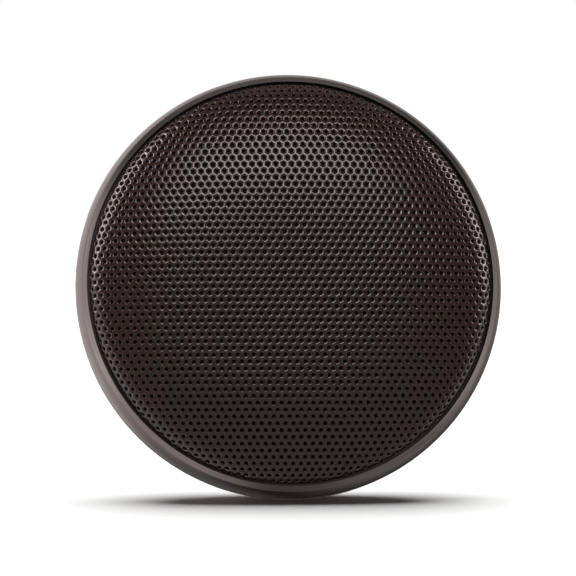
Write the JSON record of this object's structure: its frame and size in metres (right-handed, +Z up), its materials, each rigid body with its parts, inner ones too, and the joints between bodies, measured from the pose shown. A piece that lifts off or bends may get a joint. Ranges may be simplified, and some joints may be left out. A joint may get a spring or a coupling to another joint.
{
  "type": "portable speaker",
  "caption": "Round portable speaker with a domed perforated grille in a lacquered ring, pressable edge buttons, side sockets and a rubber foot.",
  "frame": {"origin": "centre of the underside of the standing foot, level with the table", "axes": "-Y towards the front that the grille faces, +X to the right seen from the front, +Z up; the speaker leans back 8 degrees"},
  "size_m": [0.12, 0.0551, 0.1195],
  "materials": {
    "lacquer": "satin",
    "shell": "satin",
    "grille_metal": "satin",
    "sound_cloth": "matte",
    "soft_rubber": "matte",
    "black_plastic": "matte",
    "foam": "matte",
    "key_rubber": "matte",
    "basket_steel": "satin",
    "magnet": "satin",
    "screw_steel": "satin",
    "brass": "satin",
    "paper_cone": "matte",
    "surround_rubber": "matte",
    "spider_cloth": "matte",
    "former_paper": "matte",
    "copper": "satin",
    "dome_film": "satin",
    "board_green": "satin",
    "chip_black": "matte",
    "can_alu": "satin",
    "socket_steel": "satin",
    "light_window": "gloss",
    "wire_red": "satin",
    "flex_amber": "gloss"
  },
  "bodies": {
    "speaker": {"aux_jack": "black_plastic", "baffle": "black_plastic", "baffle_gasket": "foam", "battery_board": "board_green", "battery_cells": "can_alu", "battery_pad": "foam", "battery_wires": "wire_red", "board_chips": "chip_black", "board_screws": "screw_steel", "capacitors": "can_alu", "chassis_plate": "black_plastic", "chassis_screws": "screw_steel", "driver_basket": "basket_steel", "driver_gasket": "foam", "driver_magnet": "magnet", "driver_screws": "screw_steel", "driver_surround": "surround_rubber", "driver_terminals": "board_green", "front_grille": "grille_metal", "front_ring": "lacquer", "grille_cloth": "sound_cloth", "grille_retainer": "black_plastic", "housing_screws": "screw_steel", "inductors": "chip_black", "key_board": "board_green", "key_carrier": "black_plastic", "led_window": "light_window", "main_board": "board_green", "microphone": "chip_black", "microphone_boot": "soft_rubber", "motor_yoke": "basket_steel", "pole_plate": "basket_steel", "rear_pad": "soft_rubber", "rear_shell": "shell", "ribbon_cable": "flex_amber", "seam_gasket": "soft_rubber", "shield_can": "socket_steel", "speaker_wires": "wire_red", "spider": "spider_cloth", "standing_foot": "soft_rubber", "status_led": "light_window", "tact_switches": "socket_steel", "thread_inserts": "brass", "tweeter_faceplate": "black_plastic", "tweeter_magnet": "magnet", "tweeter_wires": "wire_red", "tweeter_yoke": "basket_steel", "usb_connector": "socket_steel", "usb_tongue": "black_plastic"},
    "cone": {"driver_cone": "paper_cone", "dust_cap": "paper_cone", "voice_coil_former": "former_paper", "voice_coil": "copper"},
    "tweeter_diaphragm": {"tweeter_dome": "dome_film", "tweeter_coil": "copper"},
    "button_power": {"button_power": "key_rubber"},
    "button_wireless": {"button_wireless": "key_rubber"},
    "button_minus": {"button_minus": "key_rubber"},
    "button_play": {"button_play": "key_rubber"},
    "button_plus": {"button_plus": "key_rubber"}
  },
  "joints": [
    {"name": "cone_stroke", "type": "slide", "parent": "speaker", "child": "cone", "axis": [0, -0.9903, 0.1392], "range_m": [-0.0015, 0.0015], "stiffness_N_per_m": 2500, "deforming": ["driver_surround", "spider"]},
    {"name": "tweeter_stroke", "type": "slide", "parent": "speaker", "child": "tweeter_diaphragm", "axis": [0, -0.9903, 0.1392], "range_m": [-0.0003, 0.0003], "stiffness_N_per_m": 3000},
    {"name": "button_power_press", "type": "slide", "parent": "speaker", "child": "button_power", "axis": [0.3746, -0.129, -0.9182], "range_m": [0, 0.0005], "stiffness_N_per_m": 3000},
    {"name": "button_wireless_press", "type": "slide", "parent": "speaker", "child": "button_wireless", "axis": [0.1908, -0.1366, -0.9721], "range_m": [0, 0.0005], "stiffness_N_per_m": 3000},
    {"name": "button_minus_press", "type": "slide", "parent": "speaker", "child": "button_minus", "axis": [0, -0.1392, -0.9903], "range_m": [0, 0.0005], "stiffness_N_per_m": 3000},
    {"name": "button_play_press", "type": "slide", "parent": "speaker", "child": "button_play", "axis": [-0.1908, -0.1366, -0.9721], "range_m": [0, 0.0005], "stiffness_N_per_m": 3000},
    {"name": "button_plus_press", "type": "slide", "parent": "speaker", "child": "button_plus", "axis": [-0.3746, -0.129, -0.9182], "range_m": [0, 0.0005], "stiffness_N_per_m": 3000}
  ]
}
